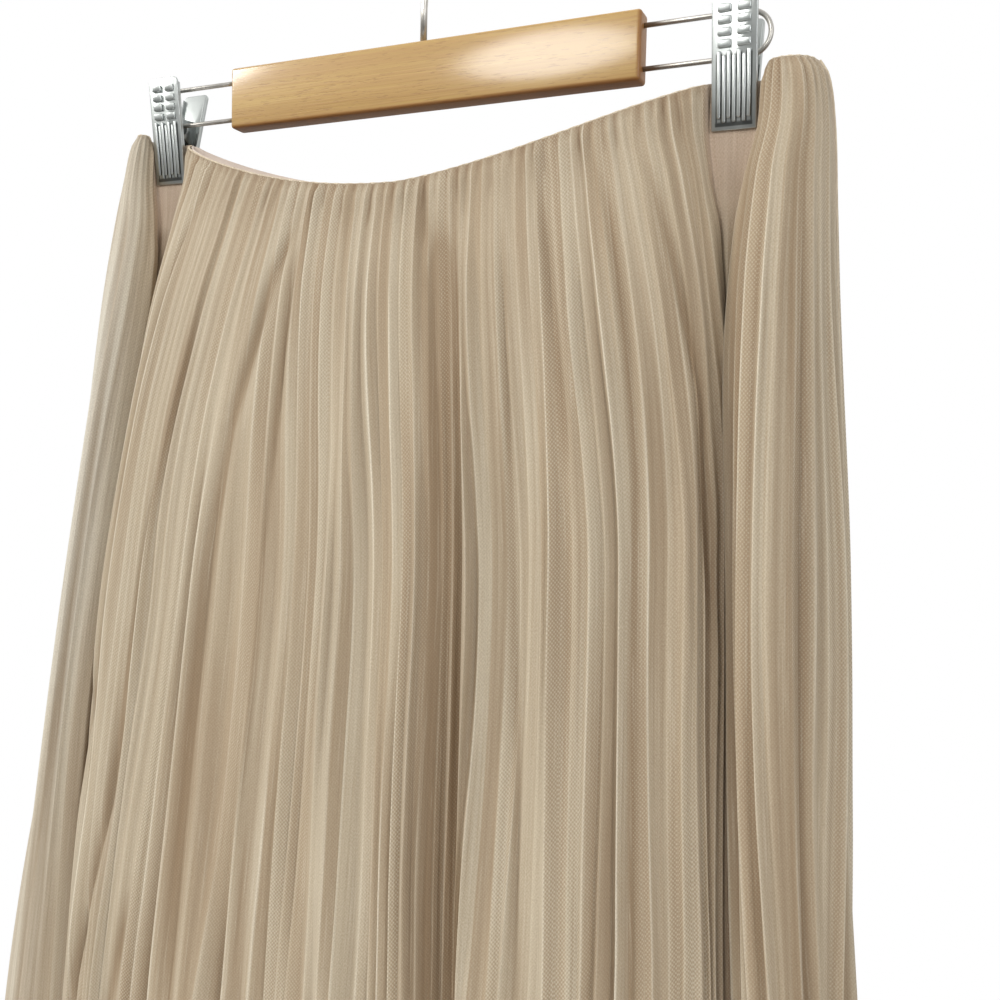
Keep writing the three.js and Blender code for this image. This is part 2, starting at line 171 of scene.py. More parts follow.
# %% The world
scene.view_settings.view_transform = "Standard"
scene.world = bpy.data.worlds.new("studio")
scene.world.use_nodes = True
sky = Nodes(scene.world.node_tree)
sky.tree.nodes.clear()
way = sky.add("ShaderNodeSeparateXYZ", Vector=sky.place("Generated")).outputs
front_to_back = sky.span(way["Y"], -0.75, 0.5, 0.5, 1.0)
low_to_high = sky.span(way["Z"], -0.4, 0.6, 0.25, 1.15)
strength = sky.calc("MULTIPLY", front_to_back, low_to_high)
lit = sky.feed("ShaderNodeBackground", (1.0, 0.99, 0.97, 1), strength)
white = sky.feed("ShaderNodeBackground", (1, 1, 1, 1), 1.0)
is_seen = sky.add("ShaderNodeLightPath").outputs["Is Camera Ray"]
sky.add("ShaderNodeOutputWorld", Surface=sky.feed("ShaderNodeMixShader", is_seen, lit, white))
print("the world is lit from above, and plain white to the camera")

# %% The lamps and the floor
# For each lamp: its place, what it faces, its width in metres, its watts, its colour.
LAMPS = {
    "window": ((-2.7, -1.5, 1.4), (0, 0, -0.4), 1.0, 52, (1.0, 0.985, 0.95)),
    "ceiling": ((-0.45, -2.0, 0.69), (0, 0, -0.1), 0.75, 17, (1.0, 0.985, 0.95)),
    "fill": ((1.9, -1.4, 0.2), (0.1, 0, -0.4), 1.0, 14, (0.98, 0.985, 1.0)),
}
for name, (place, target, size, watts, tint) in LAMPS.items():
    data = bpy.data.lights.new(name, "AREA")
    data.shape, data.size, data.energy, data.color = "DISK", size, watts, tint
    lamp = bpy.data.objects.new(name, data)
    scene.collection.objects.link(lamp)
    lamp.location = place
    lamp.rotation_euler = (Vector(target) - Vector(place)).to_track_quat("-Z", "Y").to_euler()


def finish_mesh(bm, name, smooth=True, body="root"):
    """Turns a bmesh into an object at the origin that rides on a body."""
    mesh = bpy.data.meshes.new(name)
    bm.to_mesh(mesh)
    bm.free()
    made = bpy.data.objects.new(name, mesh)
    scene.collection.objects.link(made)
    for face in mesh.polygons:
        face.use_smooth = smooth
    if body:
        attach(made, body)
    return made


FLOOR = CAD_LOW.z - 0.06
bm = bmesh.new()
bmesh.ops.create_circle(bm, cap_ends=True, segments=96, radius=1.0)
bmesh.ops.translate(bm, verts=bm.verts, vec=(0, 0, FLOOR))
floor = finish_mesh(bm, "floor", smooth=False, body=None)
pale = new_material("pale_floor", Base_Color=(0.93, 0.93, 0.92, 1), Roughness=0.8)[0]
floor.data.materials.append(pale)
print(len(LAMPS), "lamps; floor at", round(FLOOR, 3))

# %% [markdown]
# ## The wooden bar
# A straight beech stick with eased edges, sanded and varnished. A scaled cube with
# all its edges bevelled gives it in two steps. The grain is a shader: long soft
# bands along the stick, and the short dark flecks that tell beech from other woods.

# %% The bar
def bevel(bm, edges, width, segments):
    return bmesh.ops.bevel(
        bm, geom=edges, offset=width, affect="EDGES",
        segments=segments, profile=0.5, material=-1,
    )


def block(bm, low, high, rounding=0.0, segments=3):
    """Adds a box from its two corners, with its edges rounded, and returns its vertices."""
    made = bmesh.ops.create_cube(bm, size=1)["verts"]
    low, high = Vector(low), Vector(high)
    bmesh.ops.scale(bm, verts=made, vec=high - low)
    bmesh.ops.translate(bm, verts=made, vec=(low + high) / 2)
    if rounding:
        edges = list({e for v in made for e in v.link_edges})
        done = bevel(bm, edges, rounding, segments)
        made = list({v for f in done["faces"] for v in f.verts})
    return made


def stands_for(piece, solid):
    """Hides the solid that a finished piece stands for, and returns the piece."""
    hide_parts(solid)
    return piece


bar_low, bar_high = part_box("hanger_bar")
bm = bmesh.new()
block(bm, bar_low, bar_high, rounding=0.0016, segments=4)
bar = stands_for(finish_mesh(bm, "bar"), "hanger_bar")
print("bar", [round((b - a) * 1000, 1) for a, b in zip(bar_low, bar_high)], "mm")

# %% [markdown]
# ## Hook and wires
# Each wire is one rod bent on a jig. A circle of edges follows the same moves: it
# is extruded along the straight runs and spun round the bends, which keeps the
# section round. The hook bends over the rail and back under it to the bar; each
# side wire leaves the bar, turns round at its end and comes back below.

# %% A bent rod
DEGREES_A_STEP = 7.5


def added(grown, kind):
    """What an operator has added of one kind of element."""
    return [g for g in grown if isinstance(g, kind)]


def first_ring(bm, radius, sides, placed):
    bmesh.ops.create_circle(bm, cap_ends=True, segments=sides, radius=radius, matrix=placed)
    return list(bm.edges)


def extruded(bm, ring, reach):
    """Extrudes a ring of edges straight by a vector, and returns the new ring."""
    grown = bmesh.ops.extrude_edge_only(bm, edges=ring)["geom"]
    verts = added(grown, bmesh.types.BMVert)
    bmesh.ops.translate(bm, verts=verts, vec=reach)
    return [e for e in added(grown, bmesh.types.BMEdge) if all(v in verts for v in e.verts)]


def spun(bm, ring, centre, axis, angle, steps, shift=(0, 0, 0)):
    """Spins a ring of edges round an axis, shifted at each step, and returns the new ring."""
    grown = bmesh.ops.spin(
        bm, geom=ring, cent=centre, axis=axis, dvec=shift, angle=angle,
        steps=steps, use_merge=False, use_duplicate=False,
    )
    return added(grown["geom_last"], bmesh.types.BMEdge)


def finish_wire(bm, name):
    bmesh.ops.holes_fill(bm, edges=[e for e in bm.edges if e.is_boundary], sides=0)
    bmesh.ops.remove_doubles(bm, verts=bm.verts, dist=1e-6)
    bmesh.ops.recalc_face_normals(bm, faces=bm.faces)
    return finish_mesh(bm, name)


def bent_rod(name, radius, start, heading, moves, sides=14):
    """Sweeps a circle through ("run", length) and ("bend", radius, degrees) moves.

    All moves are in the plane across Y. A positive bend turns left as seen from -Y.
    """
    bm = bmesh.new()
    turned = Vector(heading).to_track_quat("Z", "X").to_matrix().to_4x4()
    ring = first_ring(bm, radius, sides, Matrix.Translation(start) @ turned)
    at, way, length = Vector(start), Vector(heading).normalized(), 0.0
    for kind, size, *degrees in moves:
        if kind == "run":
            ring = extruded(bm, ring, way * size)
            at += way * size
            length += size
        else:
            turn = math.radians(degrees[0])
            centre = at + Vector((-way.z, 0, way.x)) * size * (1 if turn > 0 else -1)
            axis = Vector((0, -1, 0))
            ring = spun(bm, ring, centre, axis, turn,
                        steps=max(3, round(abs(degrees[0]) / DEGREES_A_STEP)))
            rotation = Matrix.Rotation(turn, 3, axis)
            at = centre + rotation @ (at - centre)
            way = rotation @ way
            length += abs(turn) * size
    print(name, "rod of", round(length * 1000), "mm ends at", [round(v, 4) for v in at])
    return finish_wire(bm, name)


BAR_MIDDLE = (bar_low.z + bar_high.z) / 2
WIRE, SPACING = 0.0011, 0.0184
HOOK_WIRE, HOOK_BEND = 0.0016, 0.0206
tip_at = math.radians(196)
hook = stands_for(bent_rod(
    "hook_wire", HOOK_WIRE,
    start=(HOOK_BEND * math.cos(tip_at), 0, -0.019 + HOOK_BEND * math.sin(tip_at)),
    heading=(math.sin(tip_at), 0, -math.cos(tip_at)),
    moves=[("bend", HOOK_BEND, -248), ("bend", 0.033, 52), ("run", 0.0165)],
    sides=18,
), "hook")

side_wires = []
for side, word in ((-1, "left"), (1, "right")):
    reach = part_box("wire_" + word)[1 if side > 0 else 0].x
    run = abs(reach) - WIRE - SPACING / 2 - abs(bar_high.x)
    wire = bent_rod(
        "side_wire_" + word, WIRE,
        start=(side * abs(bar_high.x), 0, BAR_MIDDLE + SPACING / 2),
        heading=(side, 0, 0),
        moves=[("run", run), ("bend", SPACING / 2, -180 * side), ("run", run)],
    )
    side_wires.append(stands_for(wire, "wire_" + word))

# %% [markdown]
# ## The clips
# A clip is two pressed steel levers that rock on the lower wire. Each has a flat
# foot, seven upright ribs over the jaws, two columns of finger pads above, and
# sides folded in. Blocks with rounded edges stand for the pressed relief, because
# pressed steel has no sharp corner. A coil spring on the wire shuts the jaws.

# %% A lever
CLIP_X = {w: (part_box("clip_front_" + w)[0].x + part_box("clip_front_" + w)[1].x) / 2
          for w in ("left", "right")}
JAW, FOOT, LEVER, PLATE = 0.00275, 0.0395, 0.053, 0.0012
# The pressed relief of a lever of the full width. A rib: its foot, its top and how
# far out it stands, and a pad: its distance from the middle, half width and height.
FULL_WIDTH, RIB_PITCH, RIB_HALF, RIBS = 0.0185, 0.00205, 0.00088, 7
LONG_RIB, SHORT_RIB = (0.0046, 0.0312, 0.0022), (0.0028, 0.0296, 0.0019)
PAD_OUT, PAD_HALF, PAD_HIGH, PAD_PITCH, LOWEST_PAD = 0.004, 0.0028, 0.0032, 0.0046, 0.0324


def lever(name, width, lean, ears, x, back):
    """A lever, upright with its inner face on y = 0, then leant and set in place."""
    bm = bmesh.new()
    half, narrow = width / 2, width / FULL_WIDTH
    block(bm, (-half, -PLATE, 0), (half, 0, LEVER))
    corners = [e for e in bm.edges if all(v.co.z > LEVER - 1e-6 for v in e.verts)
               and abs(e.verts[0].co.x - e.verts[1].co.x) < 1e-6]
    bevel(bm, corners, 0.0026, 6)
    bevel(bm, [e for e in bm.edges if e.calc_face_angle(0) > 0.7], 0.0003, 2)
    for side in (-1, 1):
        inner, outer = sorted((side * (half - 0.0011), side * half))
        block(bm, (inner, -0.0009, 0.015), (outer, 0.0013, 0.0505), 0.0005)
    for rib in range(RIBS):
        low, high, out = SHORT_RIB if rib % 2 else LONG_RIB
        middle, wide = (rib - RIBS // 2) * RIB_PITCH * narrow, RIB_HALF * narrow
        block(bm, (middle - wide, -out, low), (middle + wide, -0.0008, high), 0.0006)
    for column in (-1, 1):
        for row in range(4):
            middle, wide = column * PAD_OUT * narrow, PAD_HALF * narrow
            low = LOWEST_PAD + row * PAD_PITCH
            high = low + PAD_HIGH
            block(bm, (middle - wide, -0.0021, low), (middle + wide, -0.001, high), 0.00055)
    # The ears reach past the lower wire, which runs through them and is the pivot.
    rock = FOOT - SPACING / 2
    pivot_y = JAW * math.cos(lean) + rock * math.sin(lean)
    pivot_z = rock * math.cos(lean) - JAW * math.sin(lean)
    at_pivot = Matrix.Translation((0, 0, -pivot_z))
    for side in (-1, 1):
        low = (side * ears - 0.0005, -0.0005, pivot_z - 0.0072)
        high = (side * ears + 0.0005, pivot_y + 0.0023, pivot_z + 0.0078)
        tip = [v for v in block(bm, low, high) if v.co.y > 0]
        bmesh.ops.scale(bm, verts=tip, vec=(1, 1, 0.42), space=at_pivot)
        round_off = [e for e in bm.edges if e.verts[0] in tip and e.verts[1] in tip
                     and abs(e.verts[0].co.z - e.verts[1].co.z) < 1e-6]
        bevel(bm, round_off, 0.0024, 4)
    bmesh.ops.recalc_face_normals(bm, faces=bm.faces)
    # The lever's own width and height stay on its points, for the finish to read.
    for name_of, axis in (("across", 0), ("up", 2)):
        layer = bm.verts.layers.float.new(name_of)
        for v in bm.verts:
            v[layer] = v.co[axis] * 1000
    placed = (
        Matrix.Translation((x, 0, BAR_MIDDLE))
        @ Matrix.Rotation(math.pi if back else 0, 4, "Z")
        @ Matrix.Translation((0, -JAW, -FOOT))
        @ Matrix.Rotation(lean, 4, "X")
    )
    bmesh.ops.transform(bm, verts=bm.verts, matrix=placed)
    return finish_mesh(bm, name)


def spring(name, x):
    """Four turns of wire round the lower side wire, with a leg to each lever."""
    bm = bmesh.new()
    radius, mean, turns, pitch = 0.00048, 0.0022, 4, 0.00102
    centre = Vector((x - turns * pitch / 2, 0, BAR_MIDDLE - SPACING / 2))
    ring = first_ring(bm, radius, 8, Matrix.Translation(centre + Vector((0, -mean, 0))))
    extruded(bm, ring, (0, -0.0022, 0.009))
    steps = 14 * turns
    last = spun(bm, ring, centre, (1, 0, 0), turns * 2 * math.pi, steps,
                shift=(turns * pitch / steps, 0, 0))
    extruded(bm, last, (0, 0.003, 0.009))
    return finish_wire(bm, name)


# For each face of a clip: its lever's width, lean in degrees and half width of ears.
LEVERS = {"front": (FULL_WIDTH, 7.5, 0.0046), "back": (0.0156, 14, 0.0033)}
levers, springs = [], []
for word, x in CLIP_X.items():
    for face, (width, lean, ears) in LEVERS.items():
        made = lever(f"lever_{face}_{word}", width, math.radians(lean), ears, x, face == "back")
        levers.append(stands_for(made, f"clip_{face}_{word}"))
    coil = spring("coil_" + word, x)
    springs.append(stands_for(coil, "clip_spring_" + word))
print("clips at", {w: round(x, 4) for w, x in CLIP_X.items()})

# %% [markdown]
# ## The form of the cloth
# Both layers hang on one form: plan sections at ten drops below the bar. A place
# from -1 to 1 runs across a panel from its left seam to its right one. It goes
# round the body, through the strip that a clip pinches, and out round the side
# lobe. These are the same sections as the solids have, in millimetres.

# %% The sections
COLUMNS = ("drop", "left", "right", "leftFold", "rightFold", "gap", "floor", "square",
           "front", "back", "lobe", "lean", "pleat", "lining")
ROWS = (
    (12, 166, 179, 146, 147.5, 2.45, 21, 3.2, 16, 14, 8.5, 0, 0.55, 2.4),
    (21, 168.5, 184, 146, 147.5, 2.45, 21, 4.2, 18, 15, 12, 0, 0.6, 2.4),
    (40, 172, 187, 146, 147.5, 2.45, 21, 6, 21, 17, 16, 2, 0.75, 2.4),
    (62, 176.5, 188.5, 147, 147.5, 3.4, 15, 8, 24, 19, 19.5, 6, 0.9, 2.8),
    (110, 182, 191, 152, 149, 7, 9, 8, 29, 24, 25, 7, 1.3, 4.6),
    (210, 195, 197.5, 166, 153, 13, 8, 6, 33, 28, 27, 7, 1.9, 6),
    (330, 213, 202.5, 180, 159, 19, 9, 5, 36, 31, 28, 5, 2.4, 8),
    (480, 241, 212, 189, 167, 25, 10, 5, 39, 34, 29, 3, 2.8, 9.5),
    (700, 266, 226, 201, 178, 31, 12, 5, 42, 37, 30, 2, 3.2, 11.5),
    (941, 286, 241, 211, 187, 35, 13, 5, 44, 39, 31, 2, 3.6, 13),
)
FORM = dict(zip(COLUMNS, np.array(ROWS, dtype=float).T))
HEM, LINING_HEM, BAR_DROP = 941.0, 868.0, -BAR_MIDDLE * 1000
# Half pleats from the middle of a panel to its side seam: those on the body, in the
# strip that a clip pinches, and round the side lobe. The first two also as places.
BODY_LINES, PINCH_LINES, LOBE_LINES = 57, 5, 22
HALF_PANEL = BODY_LINES + PINCH_LINES + LOBE_LINES
BODY, PINCH = BODY_LINES / HALF_PANEL, PINCH_LINES / HALF_PANEL
NET_WALL, SEAM_GAP = 1.0, 0.3
# Each large fold: its place and half width, the drop where it starts, its depth.
LARGE_FOLDS = {
    "front": ((0.19, 0.058, 110, 23), (-0.14, 0.05, 300, 13), (-0.4, 0.055, 230, 15),
              (0.43, 0.05, 260, 15)),
    "back": ((-0.1, 0.055, 140, 21), (0.27, 0.05, 220, 16), (-0.4, 0.05, 280, 15),
             (0.5, 0.045, 200, 12)),
}
# The sag of the waist edge: its lowest drop, then its drop and its bow at each clip.
WAIST = {"front": (54.5, (20, 2), (19.5, 1.35)), "back": (46.5, (20, 2), (20, 2))}
PINCH_DROP, SEAM_DROP = 20.5, 14.5
print("form:", len(ROWS), "sections from", ROWS[0][0], "to", ROWS[-1][0], "mm below the bar")

# %% Reading the form
def mix(a, b, share):
    return a + (b - a) * share


def ease(value):
    held = np.clip(value, 0, 1)
    return held * held * (3 - 2 * held)


def sized(column, drop):
    """One column of the sections at an array of drops, on a smooth curve."""
    rows, values = FORM["drop"], FORM[column]
    last = len(rows) - 1
    held = np.clip(drop, rows[0], rows[-1])
    row = np.clip(np.searchsorted(rows, held) - 1, 0, last - 1)
    every = np.arange(last + 1)
    before, after = np.maximum(every - 1, 0), np.minimum(every + 1, last)
    slope = (values[after] - values[before]) / (rows[after] - rows[before])
    tall = rows[row + 1] - rows[row]
    u = (held - rows[row]) / tall
    rise = values[row + 1] - values[row]
    above, below = slope[row] * tall - rise, slope[row + 1] * tall - rise
    return values[row] + rise * u + u * (1 - u) * ((1 - u) * above - u * below)


def walk(curve, share):
    """Points at a share of the length of many plane curves, each u -> (x, y)."""
    steps = 40
    u = np.linspace(0, 1, steps + 1)
    x, y = curve(u)
    lengths = np.concatenate(
        [np.zeros((len(x), 1)), np.cumsum(np.hypot(np.diff(x), np.diff(y)), axis=1)], axis=1)
    wanted = share * lengths[:, -1]
    i = np.clip((lengths < wanted[:, None]).sum(axis=1), 1, steps)
    line = np.arange(len(x))
    part = (wanted - lengths[line, i - 1]) / (lengths[line, i] - lengths[line, i - 1])
    return mix(x[line, i - 1], x[line, i], part), mix(y[line, i - 1], y[line, i], part)


def plan(face, place, drop, inside=0):
    """A panel's plan in millimetres at arrays of places and drops."""
    place, drop = np.broadcast_arrays(np.asarray(place, float), np.asarray(drop, float))
    shape = place.shape
    place, drop = place.ravel(), drop.ravel()
    left, away = place < 0, np.abs(place)
    own = {name: sized(name, drop) for name in FORM if name != "drop"}
    inset = inside * own["lining"]
    in_jaws = NET_WALL + SEAM_GAP + np.maximum(0, drop - 58) * 0.08
    jaw = inside * np.minimum(own["lining"], in_jaws)
    gap = own["gap"] - jaw
    width_of_floor = own["floor"] + 2 * inset
    fold = np.where(left, own["leftFold"], own["rightFold"])

    # The body is a square-shouldered arch, drawn in where the large folds are.
    wide, high = fold - width_of_floor / 2, own[face] - (inset - jaw)
    bx, by = walk(lambda u: (
        wide[:, None] * np.sin(u * math.pi / 2) ** (2 / own["square"])[:, None],
        high[:, None] * np.cos(u * math.pi / 2),
    ), away / BODY)
    drawn = 0
    for at, width, start, depth in LARGE_FOLDS[face]:
        drawn = drawn + (depth * ease((drop - start) / (HEM - start))
                         * np.exp(-((place - at) / width) ** 2))
    by = by + gap - drawn * ease((1 - away / BODY) * 8)

    # The side lobe is a half loop from the pinched strip to the side seam.
    start = fold + width_of_floor / 2
    half = (np.where(left, own["left"], own["right"]) - inset - start) / 2
    lean, tall = own["lean"], own["lobe"] - inset * 0.7
    share = (away - BODY - PINCH) / (1 - BODY - PINCH)

    def around(u):
        out = np.sin(u * math.pi)
        return (start[:, None] + half[:, None] * (1 - np.cos(u * math.pi))
                - lean[:, None] * out * (1 - u), tall[:, None] * out)

    sx, sy = walk(around, share)
    sy = sy + mix(gap, SEAM_GAP / 2, share)
    in_body, in_pinch = away <= BODY, away <= BODY + PINCH
    px = fold + width_of_floor * ((away - BODY) / PINCH - 0.5)
    x = np.where(in_body, bx, np.where(in_pinch, px, sx))
    y = np.where(in_body, by, np.where(in_pinch, gap, sy))
    x = np.where(left, -x, x)
    y = -y if face == "front" else y
    return x.reshape(shape), y.reshape(shape)


def waist_drop(face, place):
    """How far the waist edge lies below the middle of the bar."""
    middle, *sides = WAIST[face]
    at_clip, bow = (np.where(place < 0, *pair) for pair in zip(*sides))
    away = np.abs(place)
    body = mix(middle, at_clip, np.minimum(away / BODY, 1) ** bow)
    pinch = mix(at_clip, PINCH_DROP, ease((away - BODY) / PINCH * 2))
    out = (away - BODY - PINCH) / (1 - BODY - PINCH)
    lobe = mix(PINCH_DROP, SEAM_DROP, ease(out * 3.5))
    return np.where(away <= BODY, body, np.where(away <= BODY + PINCH, pinch, lobe))


x, y = plan("front", np.array([-1.0, 0.0, 0.7, 1.0]), 480.0)
print("front at 480 mm:", [f"{a:.0f},{b:.0f}" for a, b in zip(x, y)])

# %% [markdown]
# ## Pleats that differ
# A machine presses the pleats evenly, but worn net relaxes: some pleats stay sharp,
# others nearly open, and they bunch and part on the way down. Each crest and valley
# here is a line with its own height, side step and lean. Seeded noise that changes
# slowly down the cloth moves them, so the pleats wander but never cross. From the
# clips the lines also fan out: below the waist they run into the side folds.

# %% Slow noise down the cloth
def slow_noise(rng, lines, shares, knots, across=1):
    """Noise of about -1 to 1 for each line (columns) at each share of the drop (rows)."""
    table = rng.uniform(-1, 1, (knots + 1, lines + 2 * across))
    kernel = np.ones(2 * across + 1) / math.sqrt(2 * across + 1)
    table = np.array([np.convolve(row, kernel, mode="valid") for row in table])
    at = np.clip(shares, 0, 1) * knots
    low = np.clip(at.astype(int), 0, knots - 1)
    part = ease(at - low)[:, None]
    return mix(table[low], table[low + 1], part)


# Rows of the net, closer near the waist; half pleats, and columns in each of them.
ROWS_DOWN = 84
SHARES = np.linspace(0, 1, ROWS_DOWN + 1) ** 1.4
HALF_PLEATS, STEPS = 2 * HALF_PANEL, 3

# How far a pleat line has moved sideways 190 mm down, by its place at the waist; how
# deep the pleats are there; and how many of them have nearly opened out.
FAN = {
    "front": ((-1, 0), (-0.68, 0), (-0.6, -0.045), (-0.5, -0.07), (-0.4, -0.085),
              (-0.3, -0.055), (-0.2, 0.035), (0, 0.05), (0.2, 0.055), (0.3, 0.065),
              (0.4, 0.085), (0.5, 0.095), (0.55, 0.08), (0.6, 0.05), (0.68, 0), (1, 0)),
    "back": ((-1, 0), (-0.68, 0), (-0.58, -0.05), (-0.45, -0.08), (-0.3, -0.04), (0.1, 0.02),
             (0.3, 0.06), (0.45, 0.08), (0.58, 0.05), (0.68, 0), (1, 0)),
}
RELIEF = {
    "front": ((-1, 0.4), (-0.74, 0.45), (-0.66, 0.9), (-0.5, 1.1), (-0.3, 0.9), (-0.2, 0.6),
              (0, 0.6), (0.08, 0.9), (0.14, 1.4), (0.22, 1.3), (0.3, 0.9), (0.45, 1.1),
              (0.62, 1.2), (0.7, 0.9), (0.8, 1.5), (1, 1.4)),
    "back": ((-1, 0.8), (-0.5, 1.1), (-0.2, 0.7), (0.1, 1.2), (0.35, 0.7), (0.6, 1.1), (1, 0.9)),
}
OPENED = {
    "front": ((-1, 0.6), (-0.7, 0.5), (-0.3, 0.5), (-0.2, 0.1), (0.1, 0.1), (0.25, 0.45),
              (0.6, 0.4), (0.8, 0.3), (1, 0.3)),
    "back": ((-1, 0.4), (-0.4, 0.15), (0, 0.45), (0.5, 0.15), (1, 0.4)),
}
# How far, as a place, the calm of a pinch and of a seam reaches into the cloth, and
# the least step between two lines, as a share of the even one.
PINCH_CALM, SEAM_CALM, LEAST_STEP = 0.03, 0.02, 0.32


def crest_places():
    """The evenly pressed crest and valley lines, from the left seam to the right."""
    half = [BODY * i / BODY_LINES for i in range(1, BODY_LINES + 1)]
    half += [BODY + PINCH * i / PINCH_LINES for i in range(1, PINCH_LINES + 1)]
    half += [mix(BODY + PINCH, 1, i / LOBE_LINES) for i in range(1, LOBE_LINES + 1)]
    return np.array([-p for p in half[::-1]] + [0.0] + half)


def from_pinch(place):
    """How far a place lies from the nearer pinched strip."""
    return np.abs(np.abs(place) - BODY - PINCH / 2) - PINCH / 2


def seam_calm(place):
    return ease((1 - np.abs(place)) / SEAM_CALM)


def calm(place):
    """0 where the cloth is held flat, in a pinch or at a seam, and 1 elsewhere."""
    return ease(from_pinch(place) / PINCH_CALM) * seam_calm(place)


def in_order(place, even):
    """Keeps the lines in order and apart, and the two side folds where they are."""
    step = np.maximum(np.diff(place, axis=1), LEAST_STEP * np.diff(even))
    tidy = place.copy()
    ends = np.cumsum([0, LOBE_LINES, PINCH_LINES, 2 * BODY_LINES, PINCH_LINES, LOBE_LINES])
    for a, b in zip(ends, ends[1:]):
        part = np.cumsum(step[:, a:b], axis=1)
        tidy[:, a + 1:b + 1] = even[a] + part * (even[b] - even[a]) / part[:, -1:]
    return tidy


def pleat_field(face, seed):
    """For each row and fine column: its place, height and lean, and its looks.

    A band is the cloth from one crest to the next. It falls gently from its crest and
    rises steeply to the next one, and has its own tone and its own openness of mesh.
    Its crest gets a painted highlight, and painted shade grows towards its valley.
    """
    rng = np.random.default_rng(seed)
    lines = HALF_PLEATS + 1

    def noise(knots, across, count=lines):
        return slow_noise(rng, count, SHARES, knots, across)

    even = crest_places()
    gap = np.gradient(even)
    down = SHARES[:, None] * (HEM - 40)
    crest = np.arange(lines) % 2
    free = calm(even)
    fixed = (rng.uniform(-0.36, 0.36, lines) + 0.22 * (1 - crest)) * free
    drift = noise(5, 2) * 0.26
    crowding = noise(4, 6) * 1.35
    place = even + gap * (fixed * ease(down / 25 + 0.3) + drift * free * ease(down / 220)
                          + crowding * free * ease(down / 160 + 0.25))
    spread = ease(down / 190) * (1 + 0.35 * ease((down - 190) / 300))
    place = in_order(place + np.interp(even, *zip(*FAN[face])) * spread, even)
    room = np.gradient(place, axis=1) / gap

    # Weak crests have nearly opened out. A valley is as deep as its crests are high.
    weak = rng.random(lines) < np.interp(even, *zip(*OPENED[face]))
    weak_size, size = rng.uniform(0.05, 0.3, lines), rng.uniform(0.65, 1.35, lines)
    size = np.where(weak & (crest == 1), weak_size, size)
    change, bunch = 1 + 0.5 * noise(9, 1), 1 + 0.35 * noise(4, 6)
    deep = mix(0.8, np.interp(even, *zip(*RELIEF[face])), ease((down - 20) / 110))
    size = np.clip(size * change * bunch, 0.04, 1.8) * deep
    size = size * np.clip(room, 0.2, 1.5) ** 0.8
    near = np.minimum(np.roll(size, 1, axis=1), np.roll(size, -1, axis=1))
    height = np.where(crest, size, -0.85 * np.minimum(size, near + 0.4))
    lean = 0.5 * noise(4, 5) * free

    bow = rng.uniform(-0.12, 0.16, HALF_PLEATS)
    bands = HALF_PLEATS // 2 + 1
    livelier = 1 + 0.5 * ease((even[::2] - BODY) / 0.08)
    tone = np.clip(0.5 + 0.8 * livelier * noise(6, 0, bands), 0, 1)
    mesh = np.clip(rng.normal(0.1, 0.6, bands) + 0.5 * noise(5, 1, bands), 0, 1)
    # How strongly the painted highlight on each crest line shows, changing slowly down the cloth.
    crest_light = np.clip(0.55 + 0.8 * noise(8, 0), 0, 1)

    # Each cut across a half pleat: where, its share of the height, how much painted shade it gets.
    columns = []
    for i in range(HALF_PLEATS):
        rising = i % 2 == 0
        cuts = ((0, 0, 1), (0.5, 0.45 + bow[i], 0.5), (0.84, 0.88, 0.1)) if rising else (
            (0, 0, 0), (0.16, 0.1, 0.12), (0.6, 0.52 - bow[i], 0.45))
        band = (i + 1) // 2
        for part, share, dark in cuts:
            depth = size[:, i + (not rising)] if dark < 1 else near[:, i]
            columns.append((
                mix(place[:, i], place[:, i + 1], part),
                mix(height[:, i], height[:, i + 1], share),
                mix(lean[:, i], lean[:, i + 1], part),
                # The crease is a painted highlight on the crest line, where the net also lies
                # double.
                np.clip(size[:, i], 0, 1.2) * crest_light[:, i] * (part == 0 and not rising),
                dark * np.clip(depth, 0, 1.3), tone[:, band], mesh[:, band],
            ))
    none = 0 * SHARES
    columns.append((place[:, -1], height[:, -1], lean[:, -1], none, none, tone[:, -1], mesh[:, -1]))
    names = ("place", "height", "lean", "crease", "shade", "tone", "mesh")
    return {name: np.array(values).T for name, values in zip(names, zip(*columns))}


# %% Waves wider than a pleat
def waves(place, down, seed):
    """Soft swells a few pleats wide, in millimetres outward. They deepen down the cloth."""
    rng = np.random.default_rng(seed)
    total = np.zeros_like(place)
    for count, depth in ((9, 1.6), (15, 1.3), (25, 0.9)):
        phase = rng.uniform(0, 6.28)
        wander = slow_noise(rng, 1, down[:, 0] / HEM, 4)[:, :1] * 1.2
        wander = wander + down / 240 * np.sin(place * 3 + phase)
        fade = 1 + 0.5 * np.sin(place * count * 0.37 + phase * 2)
        total += depth * fade * np.sin(place * count * math.pi + phase + wander)
    return total * ease((down - 10) / 220)
